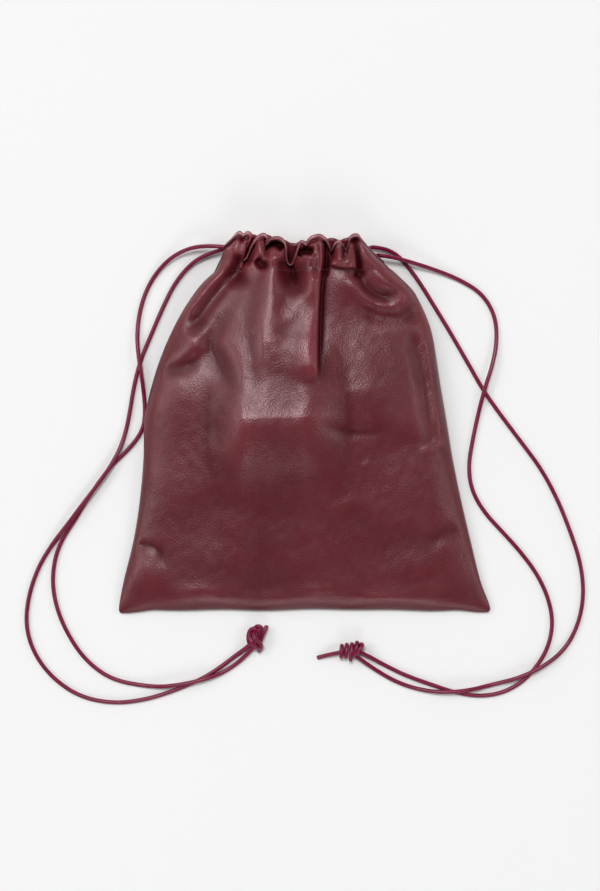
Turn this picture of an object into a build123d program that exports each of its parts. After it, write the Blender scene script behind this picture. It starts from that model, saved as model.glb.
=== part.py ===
"""Drawstring leather bag with two cords, lying on its back panel.

Millimetres. +X is the bag's right, +Y points to its mouth and +Z out of its front panel.
The origin is on the surface that the bag lies on, under the middle of the bag without its cords.
"""

import math
import os

from build123d import *

# ---- driving dimensions -------------------------------------------------------------------------
LEATHER = 1.1  # thickness of the panels
BAG_HALF_LENGTH = 119.5  # from the middle of the bag to its bottom seam and to the fold at its mouth
CASING_DEPTH = 21.5  # how far the turned hem reaches down from the mouth
CASING_THICK = 5.6  # two layers of leather with the drawstring tunnel between them
MOUTH_GAP = 6.4  # height of the gathered mouth between the two casings
NECK_LEFT = -50.0
NECK_RIGHT = 46.0
CORD_DIAMETER = 2.6

CASING_BASE = BAG_HALF_LENGTH - CASING_DEPTH
FRONT_CASING_BASE = CASING_THICK + MOUTH_GAP
CORD_RADIUS = CORD_DIAMETER / 2

# How the puffed bag changes from its bottom seam to its neck: (y, left edge, right edge, height).
STATIONS = [
    (-BAG_HALF_LENGTH, -116.5, 116.5, 4.4),
    (-85.0, -109.5, 107.2, 10.0),
    (-45.0, -103.3, 98.0, 17.0),
    (-5.0, -100.3, 90.5, 24.0),
    (35.0, -92.3, 83.5, 29.0),
    (65.0, -79.5, 77.0, 29.5),
    (85.0, -66.3, 66.3, 25.5),
    (CASING_BASE, -53.0, 52.0, 19.0),
]

# The underside is made this much too low, then cut flat where the bag rests.
REST_TRIM = 0.5

# The side and bottom seams lie in one plane, which rises from the bottom seam to the neck.
SEAM_AT_BOTTOM = 2.2
SEAM_AT_NECK = 7.0
SEAM_SLOPE = (SEAM_AT_NECK - SEAM_AT_BOTTOM) / (CASING_BASE + BAG_HALF_LENGTH)

# The drawstrings lie side by side in both tunnels, and each turns back at the far end of the neck.
BACK_RUN_Z = CASING_THICK / 2
FRONT_RUN_Z = FRONT_CASING_BASE + CASING_THICK / 2
LEFT_CORD_Y = 109.5
RIGHT_CORD_Y = 105.5
TURN_RADIUS = (FRONT_RUN_Z - BACK_RUN_Z) / 2
TURN_INSET = 1.0  # from the outside of a turned-back cord to the end of the neck
SLOT_LENGTH = TURN_RADIUS + CORD_DIAMETER + TURN_INSET  # where a cord passes between the tunnels

# Stitches.
THREAD_RADIUS = 0.3
STITCH_PITCH = 3.2
STITCH_LENGTH = 2.2
SEAM_STITCH_HEIGHT = 2.6

# Free cords. A strand lies on the surface, or on top of the strand that it crosses.
LOW = CORD_RADIUS
OVER = LOW + CORD_DIAMETER + 0.5
EASE = 0.45  # share of the shorter run beside a corner that its arc takes up

# Routes of the four free strands, from the neck to the knot that ties their ends.
LEFT_UPPER_ROUTE = [
    (NECK_LEFT, LEFT_CORD_Y, FRONT_RUN_Z),
    (-57.5, LEFT_CORD_Y, FRONT_RUN_Z),
    (-70.5, 109.8, 10.5),
    (-84.0, 103.5, 4.5),
    (-95.0, 91.5, LOW),
    (-101.5, 77.0, LOW),
    (-104.5, 60.5, LOW),
    (-104.8, 46.0, OVER),
    (-102.8, 32.0, OVER),
    (-103.2, 18.0, LOW),
    (-104.8, 6.5, LOW),
    (-105.2, -6.0, LOW),
    (-112.0, -17.0, LOW),
    (-121.5, -26.5, LOW),
    (-130.0, -38.0, LOW),
    (-138.0, -51.0, LOW),
    (-144.5, -62.0, LOW),
    (-151.5, -73.0, LOW),
    (-156.5, -86.0, LOW),
    (-158.5, -101.0, LOW),
    (-155.5, -117.5, LOW),
    (-148.5, -133.0, LOW),
    (-138.0, -148.5, LOW),
    (-122.0, -160.5, LOW),
    (-100.5, -165.0, LOW),
    (-84.0, -165.2, OVER),
    (-62.5, -161.2, OVER),
    (-50.0, -156.5, LOW),
    (-40.5, -149.5, LOW),
    (-32.5, -139.5, 4.0),
]
LEFT_LOWER_ROUTE = [
    (NECK_LEFT, LEFT_CORD_Y, BACK_RUN_Z),
    (-57.0, LEFT_CORD_Y, BACK_RUN_Z),
    (-70.0, 102.0, LOW),
    (-81.5, 88.0, LOW),
    (-89.5, 71.5, LOW),
    (-96.5, 55.0, LOW),
    (-103.5, 39.5, LOW),
    (-107.5, 23.0, LOW),
    (-110.0, 7.0, LOW),
    (-113.5, -9.0, LOW),
    (-119.0, -22.5, OVER),
    (-128.0, -36.0, OVER),
    (-138.5, -50.5, OVER),
    (-148.5, -63.5, OVER),
    (-158.5, -76.0, LOW),
    (-167.5, -91.0, LOW),
    (-173.5, -109.0, LOW),
    (-175.0, -127.5, LOW),
    (-169.5, -145.0, LOW),
    (-158.0, -160.5, LOW),
    (-140.5, -172.0, LOW),
    (-119.0, -176.0, LOW),
    (-97.5, -173.0, LOW),
    (-79.5, -167.0, LOW),
    (-65.0, -161.0, LOW),
    (-53.0, -153.5, LOW),
    (-43.5, -145.5, LOW),
    (-34.0, -137.5, 4.0),
]
RIGHT_UPPER_ROUTE = [
    (NECK_RIGHT, RIGHT_CORD_Y, BACK_RUN_Z),
    (52.5, RIGHT_CORD_Y, BACK_RUN_Z),
    (63.5, 100.0, LOW),
    (72.0, 88.5, LOW),
    (80.5, 75.0, LOW),
    (90.0, 59.5, LOW),
    (101.0, 40.5, LOW),
    (112.5, 20.0, LOW),
    (124.0, 4.0, LOW),
    (136.5, -12.5, LOW),
    (148.5, -28.5, LOW),
    (158.5, -47.0, LOW),
    (167.0, -68.0, LOW),
    (173.5, -88.0, LOW),
    (175.5, -107.0, LOW),
    (172.5, -125.0, LOW),
    (164.5, -141.0, LOW),
    (151.0, -152.0, OVER),
    (134.5, -159.5, OVER),
    (118.5, -163.5, LOW),
    (102.0, -167.5, OVER),
    (86.0, -168.8, OVER),
    (70.5, -167.0, LOW),
    (57.5, -162.5, LOW),
    (46.0, -155.8, LOW),
    (34.5, -146.5, 4.0),
]
RIGHT_LOWER_ROUTE = [
    (NECK_RIGHT, RIGHT_CORD_Y, FRONT_RUN_Z),
    (53.5, RIGHT_CORD_Y, FRONT_RUN_Z),
    (67.0, 101.5, 10.5),
    (81.5, 96.0, 4.5),
    (97.0, 90.3, LOW),
    (111.5, 81.0, LOW),
    (119.5, 67.5, LOW),
    (121.0, 51.5, LOW),
    (117.8, 36.0, OVER),
    (112.8, 21.0, OVER),
    (109.0, 5.5, LOW),
    (105.5, -11.0, LOW),
    (102.8, -27.5, LOW),
    (105.0, -42.5, LOW),
    (112.8, -56.0, LOW),
    (123.5, -67.5, LOW),
    (135.0, -80.0, LOW),
    (146.0, -94.5, LOW),
    (153.5, -110.5, LOW),
    (156.0, -126.5, LOW),
    (152.5, -142.5, LOW),
    (143.5, -156.0, LOW),
    (134.0, -164.5, LOW),
    (122.5, -169.5, LOW),
    (108.5, -171.0, LOW),
    (93.5, -168.5, LOW),
    (78.5, -163.5, LOW),
    (63.0, -157.8, LOW),
    (49.5, -151.0, LOW),
    (36.5, -142.5, 5.0),
]

# Knots: where each lies, the direction of its axis, its wraps and the tails that it leaves.
LEFT_KNOT = (-30.5, -133.5, 0.0)
LEFT_KNOT_AXIS = (0.12, 1.0, 0.0)
LEFT_KNOT_WRAP = 2.3
LEFT_KNOT_COUNT = 3
RIGHT_KNOT = (30.0, -143.5, 0.0)
RIGHT_KNOT_AXIS = (1.0, -0.12, 0.0)
RIGHT_KNOT_WRAP = 1.9
RIGHT_KNOT_COUNT = 4
KNOT_CORE = 3.0
LEFT_TAIL = [(-28.0, -131.0, 4.0), (-25.5, -129.0, 3.6), (-23.5, -126.0, 3.0)]
LEFT_SHORT_TAIL = [(-30.0, -138.0, 4.0), (-28.8, -141.3, 3.2), (-27.8, -144.3, 2.2)]
RIGHT_TAIL = [(25.0, -143.5, 4.0), (19.5, -144.6, 3.0), (14.0, -145.6, 2.0), (8.0, -147.6, LOW)]

os.makedirs("parts", exist_ok=True)


def save(piece, name):
    """Label a finished piece and write it as the STEP file of that name."""
    piece.part.label = name
    export_step(piece.part, f"parts/{name}.step")


def seam_height(y):
    return SEAM_AT_BOTTOM + SEAM_SLOPE * (y + BAG_HALF_LENGTH)


# ---- panels -------------------------------------------------------------------------------------
def bag_section(y, left, right, height, inset):
    """The bag's section at y, drawn in by inset: flat below, rounded up to the seams, arched above."""
    seam = seam_height(y)
    left, right = left + inset, right - inset
    underside = inset if inset else -REST_TRIM
    rise = seam - underside
    lean = rise * math.cos(math.radians(45))
    with BuildSketch(Plane.XZ.offset(-y)) as section:
        with BuildLine():
            Line((left + rise, underside), (right - rise, underside))
            ThreePointArc((right - rise, underside), (right - rise + lean, seam - lean), (right, seam))
            EllipticalCenterArc(
                ((left + right) / 2, seam), (right - left) / 2, height - inset - seam, arc_size=180
            )
            ThreePointArc((left, seam), (left + rise - lean, seam - lean), (left + rise, underside))
        make_face()
    return section.sketch


def bag_form(inset):
    """The puffed form that the two panels enclose, or its hollow where inset is the leather."""
    stations = list(STATIONS)
    if inset:
        y, left, right, height = stations[0]
        stations[0] = (y + inset, left, right, height)
        y, left, right, height = stations[-1]
        stations[-1] = (y + inset, left, right, height)
    return loft([bag_section(*station, inset) for station in stations])


shell = bag_form(0) - bag_form(LEATHER)
seam_plane = Plane(
    origin=(0, -BAG_HALF_LENGTH, SEAM_AT_BOTTOM), x_dir=(1, 0, 0), z_dir=(0, -SEAM_SLOPE, 1)
)

with BuildPart() as front_panel:
    add(shell)
    split(bisect_by=seam_plane, keep=Keep.TOP)
save(front_panel, "front_panel")

with BuildPart() as back_panel:
    add(shell)
    split(bisect_by=seam_plane, keep=Keep.BOTTOM)
    split(bisect_by=Plane.XY, keep=Keep.TOP)
save(back_panel, "back_panel")


# ---- casings: the turned hems that hold the drawstrings ------------------------------------------
def casing(base, mouth_wall):
    """A casing that lies at height base, whose wall towards the mouth starts at height mouth_wall."""
    neck_middle = (NECK_LEFT + NECK_RIGHT) / 2
    neck_width = NECK_RIGHT - NECK_LEFT
    depth_middle = CASING_BASE + CASING_DEPTH / 2
    tunnel_height = CASING_THICK - 2 * LEATHER
    slot_depth = LEFT_CORD_Y - RIGHT_CORD_Y + 3 * CORD_DIAMETER
    slot_y = (LEFT_CORD_Y + RIGHT_CORD_Y) / 2
    with BuildPart() as piece:
        with Locations((neck_middle, depth_middle, base + CASING_THICK / 2)):
            Box(neck_width, CASING_DEPTH, CASING_THICK)
        fold = piece.edges().filter_by(Axis.X).group_by(Axis.Y)[-1]
        fillet(fold, CASING_THICK * 0.45)
        with Locations((neck_middle, depth_middle, base + CASING_THICK / 2)):
            Box(neck_width, CASING_DEPTH - 2 * LEATHER, tunnel_height, mode=Mode.SUBTRACT)
        with Locations(
            (NECK_LEFT + SLOT_LENGTH / 2, slot_y, mouth_wall + LEATHER / 2),
            (NECK_RIGHT - SLOT_LENGTH / 2, slot_y, mouth_wall + LEATHER / 2),
        ):
            Box(SLOT_LENGTH, slot_depth, LEATHER, mode=Mode.SUBTRACT)
    return piece


save(casing(FRONT_CASING_BASE, FRONT_CASING_BASE), "front_casing")
save(casing(0, CASING_THICK - LEATHER), "back_casing")


# ---- stitching ----------------------------------------------------------------------------------
def seam_stitches(points):
    """Short upright stitches, one at each point, across the seam between the two panels."""
    with BuildPart() as piece:
        with Locations(*points):
            Cylinder(THREAD_RADIUS, SEAM_STITCH_HEIGHT)
    return piece


def side_seam_points(edge):
    """Points every stitch along one side of the bag, half the leather in from its outline."""
    side = 1 if edge == 2 else -1
    outline = Spline([(station[edge] - side * LEATHER / 2, station[0]) for station in STATIONS])
    count = int(outline.length / STITCH_PITCH)
    places = [outline @ ((i + 0.5) / count) for i in range(count)]
    return [(p.X, p.Y, seam_height(p.Y)) for p in places]


def bottom_seam_points():
    """Points every stitch along the bottom seam, half the leather in from its edge."""
    y, left, right, _ = STATIONS[0]
    y += LEATHER / 2
    margin = 2 * STITCH_PITCH
    count = int((right - left - 2 * margin) / STITCH_PITCH)
    return [(left + margin + i * STITCH_PITCH, y, seam_height(y)) for i in range(count + 1)]


def casing_stitches(z):
    """A row of stitches along the casing's lower edge, on the face at height z."""
    count = int((NECK_RIGHT - NECK_LEFT) / STITCH_PITCH)
    start = (NECK_LEFT + NECK_RIGHT - (count - 1) * STITCH_PITCH) / 2
    with BuildPart() as piece:
        with Locations(
            *[Location((start + i * STITCH_PITCH, CASING_BASE + LEATHER / 2, z)) for i in range(count)]
        ):
            Cylinder(THREAD_RADIUS, STITCH_LENGTH, rotation=(0, 90, 0))
    return piece


save(seam_stitches(side_seam_points(1)), "left_side_stitching")
save(seam_stitches(side_seam_points(2)), "right_side_stitching")
save(seam_stitches(bottom_seam_points()), "bottom_stitching")
save(casing_stitches(FRONT_CASING_BASE + CASING_THICK), "front_casing_stitching")
save(casing_stitches(THREAD_RADIUS), "back_casing_stitching")


# ---- cords --------------------------------------------------------------------------------------
def corner_radii(route):
    """The largest arc for each corner that its two runs leave room for."""
    points = [Vector(p) for p in route]
    radii = []
    for before, corner, after in zip(points, points[1:], points[2:]):
        turn = math.radians((corner - before).get_angle(after - corner))
        shorter = min((corner - before).length, (after - corner).length)
        radii.append(EASE * shorter / math.tan(turn / 2))
    return radii


def tube(route, name):
    """A cord's tube along straight runs joined by tangent arcs."""
    radii = corner_radii(route)
    with BuildPart() as piece:
        with BuildLine() as path:
            FilletPolyline(*route, radius=radii)
        wire = path.wire()
        with BuildSketch(Plane(origin=wire @ 0, z_dir=wire % 0)):
            Circle(CORD_RADIUS)
        sweep(path=wire)
    length = wire.length
    section = math.pi * CORD_RADIUS**2
    print(
        f"{name}: {length:.0f} mm, smallest radius {min(radii):.0f} mm, "
        f"volume {piece.part.volume / (section * length):.3f} of section x length"
    )
    save(piece, name)


def casing_loop(mouth_end, turn_end, y, name):
    """The run of a drawstring out through one tunnel, round at turn_end and back through the other."""
    outwards = 1 if turn_end > mouth_end else -1
    turn_x = turn_end - outwards * (TURN_INSET + CORD_RADIUS + TURN_RADIUS)
    middle_z = (FRONT_RUN_Z + BACK_RUN_Z) / 2
    with BuildPart() as piece:
        with BuildLine() as path:
            Line((mouth_end, y, FRONT_RUN_Z), (turn_x, y, FRONT_RUN_Z))
            ThreePointArc(
                (turn_x, y, FRONT_RUN_Z),
                (turn_x + outwards * TURN_RADIUS, y, middle_z),
                (turn_x, y, BACK_RUN_Z),
            )
            Line((turn_x, y, BACK_RUN_Z), (mouth_end, y, BACK_RUN_Z))
        wire = path.wire()
        with BuildSketch(Plane(origin=wire @ 0, z_dir=wire % 0)):
            Circle(CORD_RADIUS)
        sweep(path=wire)
    print(f"{name}: {wire.length:.0f} mm")
    save(piece, name)


def knot(place, axis, wrap, count):
    """A knot as wraps of cord side by side round its core, lying on the surface."""
    outer = KNOT_CORE + wrap
    centre = Vector(place) + Vector(0, 0, outer)
    pitch = 2 * wrap * 0.95
    offsets = [(i - (count - 1) / 2) * pitch for i in range(count)]
    with BuildPart(Plane(origin=centre, x_dir=(0, 0, 1), z_dir=axis)) as piece:
        Cylinder(KNOT_CORE, pitch * (count - 1) + wrap)
        with Locations(*[(0, 0, offset) for offset in offsets]):
            Torus(KNOT_CORE, wrap)
    return piece


casing_loop(NECK_LEFT, NECK_RIGHT, LEFT_CORD_Y, "left_cord_casing_loop")
tube(LEFT_UPPER_ROUTE, "left_cord_upper_strand")
tube(LEFT_LOWER_ROUTE, "left_cord_lower_strand")
save(knot(LEFT_KNOT, LEFT_KNOT_AXIS, LEFT_KNOT_WRAP, LEFT_KNOT_COUNT), "left_cord_knot")
tube(LEFT_TAIL, "left_cord_tail")
tube(LEFT_SHORT_TAIL, "left_cord_short_tail")

casing_loop(NECK_RIGHT, NECK_LEFT, RIGHT_CORD_Y, "right_cord_casing_loop")
tube(RIGHT_UPPER_ROUTE, "right_cord_upper_strand")
tube(RIGHT_LOWER_ROUTE, "right_cord_lower_strand")
save(knot(RIGHT_KNOT, RIGHT_KNOT_AXIS, RIGHT_KNOT_WRAP, RIGHT_KNOT_COUNT), "right_cord_knot")
tube(RIGHT_TAIL, "right_cord_tail")
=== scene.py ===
"""Looks of the drawstring leather bag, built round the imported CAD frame. Metres, in the frame's axes.

The leather is worked out as rows and columns of points in millimetres: the outline and the puffed form
first, then the folds, then the gathered hem, which is rolled over its rim and turned back inside.
"""

import math

import bmesh
import bpy
import numpy as np
from mathutils import Matrix, Vector


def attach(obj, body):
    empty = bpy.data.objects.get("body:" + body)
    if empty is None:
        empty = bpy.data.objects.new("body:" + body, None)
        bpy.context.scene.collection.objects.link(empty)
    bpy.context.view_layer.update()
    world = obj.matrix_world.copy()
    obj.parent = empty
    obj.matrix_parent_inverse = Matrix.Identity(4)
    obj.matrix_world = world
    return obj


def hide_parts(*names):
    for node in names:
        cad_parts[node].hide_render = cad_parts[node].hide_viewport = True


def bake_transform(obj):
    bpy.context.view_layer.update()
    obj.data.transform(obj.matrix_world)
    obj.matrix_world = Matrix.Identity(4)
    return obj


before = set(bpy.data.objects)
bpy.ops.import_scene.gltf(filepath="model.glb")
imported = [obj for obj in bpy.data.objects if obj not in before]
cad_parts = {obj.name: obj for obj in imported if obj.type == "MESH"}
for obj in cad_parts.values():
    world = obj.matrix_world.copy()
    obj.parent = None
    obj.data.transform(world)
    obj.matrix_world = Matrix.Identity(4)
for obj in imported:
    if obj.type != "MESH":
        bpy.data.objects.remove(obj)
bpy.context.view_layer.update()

MM = 0.001
CORD_DIAMETER = 2.6 * MM
CORD_RADIUS = CORD_DIAMETER / 2

# ---- camera: straight down on the bag, as far away as a portrait lens stands --------------------
LENS = 0.085
SENSOR = 0.036
VIEW_HEIGHT = 0.56  # of the floor, along the picture's long side
VIEW_CENTRE = (-0.0028, -0.0141)  # on the bag, a little above the middle of the bag with its cords
camera = bpy.data.objects.new("camera", bpy.data.cameras.new("camera"))
camera.data.lens = LENS * 1000
camera.data.sensor_width = SENSOR * 1000
camera.location = (*VIEW_CENTRE, VIEW_HEIGHT * LENS / SENSOR)
bpy.context.scene.collection.objects.link(camera)
bpy.context.scene.camera = camera


# ---- materials ----------------------------------------------------------------------------------
def shader(name, roughness, **sockets):
    """A new material, its node tree and its principled shader, with constants on their own sockets."""
    material = bpy.data.materials.new(name)
    material.use_nodes = True
    tree = material.node_tree
    principled = tree.nodes["Principled BSDF"]
    principled.inputs["Roughness"].default_value = roughness
    for socket, value in sockets.items():
        principled.inputs[socket.replace("_", " ")].default_value = value
    return material, tree, principled


def node(tree, kind, **settings):
    """A new node whose settings are constants on its sockets or, failing that, its own properties."""
    made = tree.nodes.new(kind)
    for key, value in settings.items():
        if key in made.inputs:
            made.inputs[key].default_value = value
        else:
            setattr(made, key, value)
    return made


def object_place(tree):
    return node(tree, "ShaderNodeTexCoord").outputs["Object"]


def attribute(tree, label):
    return node(tree, "ShaderNodeAttribute", attribute_name=label).outputs["Fac"]


def noise(tree, vector, scale, detail):
    made = node(tree, "ShaderNodeTexNoise", Scale=scale, Detail=detail, Roughness=0.55)
    tree.links.new(vector, made.inputs["Vector"])
    return made.outputs["Fac"]


def grey(value):
    return (value, value, value)


def ramp(tree, factor, stops):
    """A colour that changes with factor through the stops, each a position and a colour."""
    made = node(tree, "ShaderNodeValToRGB")
    elements = made.color_ramp.elements
    while len(elements) < len(stops):
        elements.new(0.5)
    for element, (position, colour) in zip(elements, stops):
        element.position = position
        element.color = (*colour, 1)
    tree.links.new(factor, made.inputs["Fac"])
    return made.outputs["Color"]


def rescale(tree, value, before, after):
    """The value, taken from the range before to the range after."""
    made = node(tree, "ShaderNodeMapRange")
    for socket, limit in zip(("From Min", "From Max", "To Min", "To Max"), (*before, *after)):
        made.inputs[socket].default_value = limit
    tree.links.new(value, made.inputs["Value"])
    return made.outputs["Result"]


def turn_to(tree, factor, colour, target):
    """The colour, turned into the constant target as far as factor says."""
    made = node(tree, "ShaderNodeMix", data_type="RGBA")
    tree.links.new(factor, made.inputs["Factor"])
    tree.links.new(colour, made.inputs[6])
    made.inputs[7].default_value = (*target, 1)
    return made.outputs[2]


def bump(tree, height, strength, distance, normal=None):
    """A bump of the given distance, with a strength that is a constant or another node's output."""
    made = node(tree, "ShaderNodeBump", Distance=distance)
    if isinstance(strength, float):
        made.inputs["Strength"].default_value = strength
    else:
        tree.links.new(strength, made.inputs["Strength"])
    tree.links.new(height, made.inputs["Height"])
    if normal is not None:
        tree.links.new(normal, made.inputs["Normal"])
    return made.outputs["Normal"]


LEATHER_DARK = (0.096, 0.0098, 0.0150)
LEATHER_LIGHT = (0.120, 0.0124, 0.0187)
# lighter colour on the rim's fold: partly leather rubbed lighter, partly a painted highlight line
RIM_RUBBED_AND_HIGHLIGHT_COLOUR = (0.52, 0.25, 0.27)
LEATHER_SHINE_TINT = (1, 0.82, 0.84, 1)
LEATHER_ROUGHNESS = 0.37
RUBBED_ROUGHNESS = 0.27
PAINTED_CREST_LIGHT_AND_FOLD_SHADE = (1.35, 0.42)  # painted light on a crest and painted shade in a deep fold: how much lighter and darker than the flat
CREST_AND_FOLD_GLOSS = (0.74, 0.1)
GRAIN = 0.42
GRAIN_KEPT_ON_RIM = 0.1
PEBBLE_WIDTH = 0.9 * MM
PEBBLE_HEIGHT = 0.26 * MM
PEBBLE_BEND = 0.25 * MM
PORE_HEIGHT = 0.07 * MM


def leather_grain(tree, vector, wear_and_highlight):
    """Pebbled cells with fine pores on them, worn flat along the rim."""
    bend = node(tree, "ShaderNodeMix", data_type="VECTOR")
    bend.inputs["Factor"].default_value = PEBBLE_BEND
    warp = node(tree, "ShaderNodeTexNoise", Scale=420, Detail=2)
    tree.links.new(vector, warp.inputs["Vector"])
    tree.links.new(vector, bend.inputs["A"])
    tree.links.new(warp.outputs["Color"], bend.inputs["B"])
    cells = node(tree, "ShaderNodeTexVoronoi", Scale=1 / PEBBLE_WIDTH, feature="SMOOTH_F1")
    cells.inputs["Smoothness"].default_value = 0.35
    tree.links.new(bend.outputs["Result"], cells.inputs["Vector"])
    strength = node(tree, "ShaderNodeMath", operation="MULTIPLY_ADD")
    tree.links.new(wear_and_highlight, strength.inputs[0])
    strength.inputs[1].default_value = (GRAIN_KEPT_ON_RIM - 1) * GRAIN
    strength.inputs[2].default_value = GRAIN
    pebbles = bump(tree, cells.outputs["Distance"], strength.outputs[0], PEBBLE_HEIGHT)
    return bump(tree, noise(tree, vector, 2600, 2), strength.outputs[0], PORE_HEIGHT, pebbles)


def leather_material():
    """Soft grained leather: faint colour clouds, polish, painted shade in the folds and painted light on the
    crests, and rims worn smooth with a painted highlight line.
    """
    material, tree, principled = shader("burgundy_leather", LEATHER_ROUGHNESS)
    principled.inputs["Specular Tint"].default_value = LEATHER_SHINE_TINT
    vector = object_place(tree)
    wear_and_highlight = attribute(tree, "wear_and_highlight")
    hollow_shade = attribute(tree, "hollow_shade")

    rubbed_and_highlit = node(tree, "ShaderNodeMath", operation="MULTIPLY")
    tree.links.new(wear_and_highlight, rubbed_and_highlit.inputs[0])
    patches = ramp(tree, noise(tree, vector, 240, 3), [(0.3, grey(0.8)), (0.7, grey(1))])
    tree.links.new(patches, rubbed_and_highlit.inputs[1])

    clouds = ramp(tree, noise(tree, vector, 26, 4), [(0.3, LEATHER_DARK), (0.72, LEATHER_LIGHT)])
    # painted shade and light: the colour is darkened in deep folds and lightened on crests
    shaded = node(tree, "ShaderNodeVectorMath", operation="SCALE")
    # along the rim the colour turns lighter: rubbed leather with a painted highlight line on the fold
    tree.links.new(turn_to(tree, rubbed_and_highlit.outputs[0], clouds, RIM_RUBBED_AND_HIGHLIGHT_COLOUR), shaded.inputs[0])
    tree.links.new(rescale(tree, hollow_shade, (-1, 1), PAINTED_CREST_LIGHT_AND_FOLD_SHADE), shaded.inputs["Scale"])
    tree.links.new(shaded.outputs["Vector"], principled.inputs["Base Color"])

    gloss = rescale(tree, hollow_shade, (-0.3, 1), CREST_AND_FOLD_GLOSS)
    tree.links.new(gloss, principled.inputs["Specular IOR Level"])
    polish = ramp(
        tree,
        noise(tree, vector, 60, 4),
        [(0.3, grey(LEATHER_ROUGHNESS - 0.05)), (0.75, grey(LEATHER_ROUGHNESS + 0.07))],
    )
    roughness = turn_to(tree, rubbed_and_highlit.outputs[0], polish, grey(RUBBED_ROUGHNESS))
    tree.links.new(roughness, principled.inputs["Roughness"])
    tree.links.new(leather_grain(tree, vector, wear_and_highlight), principled.inputs["Normal"])
    return material


def cord_material():
    """Polished round leather cord with small patches of darker and duller leather."""
    material, tree, principled = shader(
        "magenta_cord_leather", 0.33, Specular_IOR_Level=0.34, Coat_Weight=0.14, Coat_Roughness=0.28
    )
    vector = object_place(tree)
    patches = noise(tree, vector, 260, 5)
    colour = ramp(tree, patches, [(0.3, (0.135, 0.0006, 0.022)), (0.7, (0.205, 0.001, 0.040))])
    tree.links.new(colour, principled.inputs["Base Color"])
    polish = ramp(tree, noise(tree, vector, 900, 3), [(0.3, grey(0.26)), (0.75, grey(0.42))])
    tree.links.new(polish, principled.inputs["Roughness"])
    pores = bump(tree, noise(tree, vector, 2600, 3), 0.25, 0.06 * MM)
    tree.links.new(pores, principled.inputs["Normal"])
    return material


def thread_material():
    """Twisted thread, tone on tone with the leather."""
    material, tree, principled = shader("burgundy_thread", 0.62, Sheen_Weight=0.3)
    twist = node(tree, "ShaderNodeTexWave", Scale=1500, Distortion=1.5)
    tree.links.new(object_place(tree), twist.inputs["Vector"])
    colour = ramp(tree, twist.outputs["Fac"], [(0.2, (0.070, 0.010, 0.015)), (0.8, (0.12, 0.022, 0.030))])
    tree.links.new(colour, principled.inputs["Base Color"])
    tree.links.new(bump(tree, twist.outputs["Fac"], 0.4, 0.1 * MM), principled.inputs["Normal"])
    return material


LEATHER_MATERIAL = leather_material()
CORD_MATERIAL = cord_material()
THREAD_MATERIAL = thread_material()


# ---- cords: routes in millimetres ------------------------------------------------------------------
LOW = CORD_RADIUS / MM  # height of a cord's middle where it lies on the floor
OVER = 4.1  # and where it crosses over the other strand
LEFT_UPPER_ROUTE = [
    (-50.0, 109.8, 9.5),
    (-57.5, 110.6, 9.2),
    (-70.5, 110.0, 6.8),
    (-84.0, 104.0, 3.2),
    (-95.0, 92.0, LOW),
    (-101.8, 77.5, LOW),
    (-105.0, 61.0, LOW),
    (-104.8, 47.0, OVER),
    (-102.4, 32.0, OVER),
    (-100.8, 18.0, LOW),
    (-100.0, 6.5, LOW),
    (-101.4, -4.5, LOW),
    (-109.5, -15.5, LOW),
    (-121.0, -26.5, LOW),
    (-129.5, -37.5, LOW),
    (-138.0, -50.5, LOW),
    (-144.5, -61.5, LOW),
    (-151.5, -71.5, LOW),
    (-156.8, -84.5, LOW),
    (-158.5, -100.5, LOW),
    (-155.5, -117.0, LOW),
    (-148.5, -133.0, LOW),
    (-138.0, -148.5, LOW),
    (-122.0, -160.8, LOW),
    (-100.5, -165.2, LOW),
    (-84.0, -165.2, OVER),
    (-62.5, -160.8, OVER),
    (-51.0, -156.6, LOW),
    (-41.5, -150.3, LOW),
    (-34.3, -143.2, 2.6),
    (-30.2, -138.6, 3.4),
]
LEFT_LOWER_ROUTE = [
    (-50.0, 108.8, 6.5),
    (-57.0, 107.2, 5.2),
    (-70.0, 101.5, 2.6),
    (-81.5, 88.0, LOW),
    (-89.5, 71.5, LOW),
    (-96.5, 55.0, LOW),
    (-103.0, 39.5, LOW),
    (-107.2, 23.0, LOW),
    (-109.6, 7.0, LOW),
    (-113.0, -9.0, LOW),
    (-118.6, -22.5, OVER),
    (-127.5, -36.0, OVER),
    (-138.8, -50.5, OVER),
    (-148.5, -63.5, OVER),
    (-158.5, -76.0, LOW),
    (-167.5, -91.0, LOW),
    (-173.5, -109.0, LOW),
    (-175.2, -127.5, LOW),
    (-169.8, -145.0, LOW),
    (-158.0, -160.5, LOW),
    (-140.5, -172.2, LOW),
    (-119.0, -176.2, LOW),
    (-97.5, -173.2, LOW),
    (-79.5, -167.0, LOW),
    (-65.0, -161.0, LOW),
    (-53.0, -153.5, LOW),
    (-43.5, -146.0, LOW),
    (-36.0, -140.6, 2.6),
    (-31.6, -136.6, 3.6),
]
RIGHT_UPPER_ROUTE = [
    (42.5, 110.2, 4.5),
    (49.5, 109.6, 3.8),
    (57.5, 106.2, 2.0),
    (64.5, 99.0, LOW),
    (72.5, 88.0, LOW),
    (80.5, 75.0, LOW),
    (90.0, 59.5, LOW),
    (101.0, 40.5, LOW),
    (112.5, 20.0, LOW),
    (124.0, 4.0, LOW),
    (136.5, -12.5, LOW),
    (148.5, -28.5, LOW),
    (158.5, -47.0, LOW),
    (167.0, -68.0, LOW),
    (173.5, -88.0, LOW),
    (175.5, -107.0, LOW),
    (172.5, -125.0, LOW),
    (164.5, -141.0, LOW),
    (151.0, -152.0, OVER),
    (134.5, -159.8, OVER),
    (118.5, -164.0, LOW),
    (102.0, -167.8, OVER),
    (86.0, -169.0, OVER),
    (70.5, -167.0, LOW),
    (57.5, -162.5, LOW),
    (46.5, -156.2, LOW),
    (36.0, -149.0, 2.6),
    (29.0, -143.6, 3.8),
]
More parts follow.
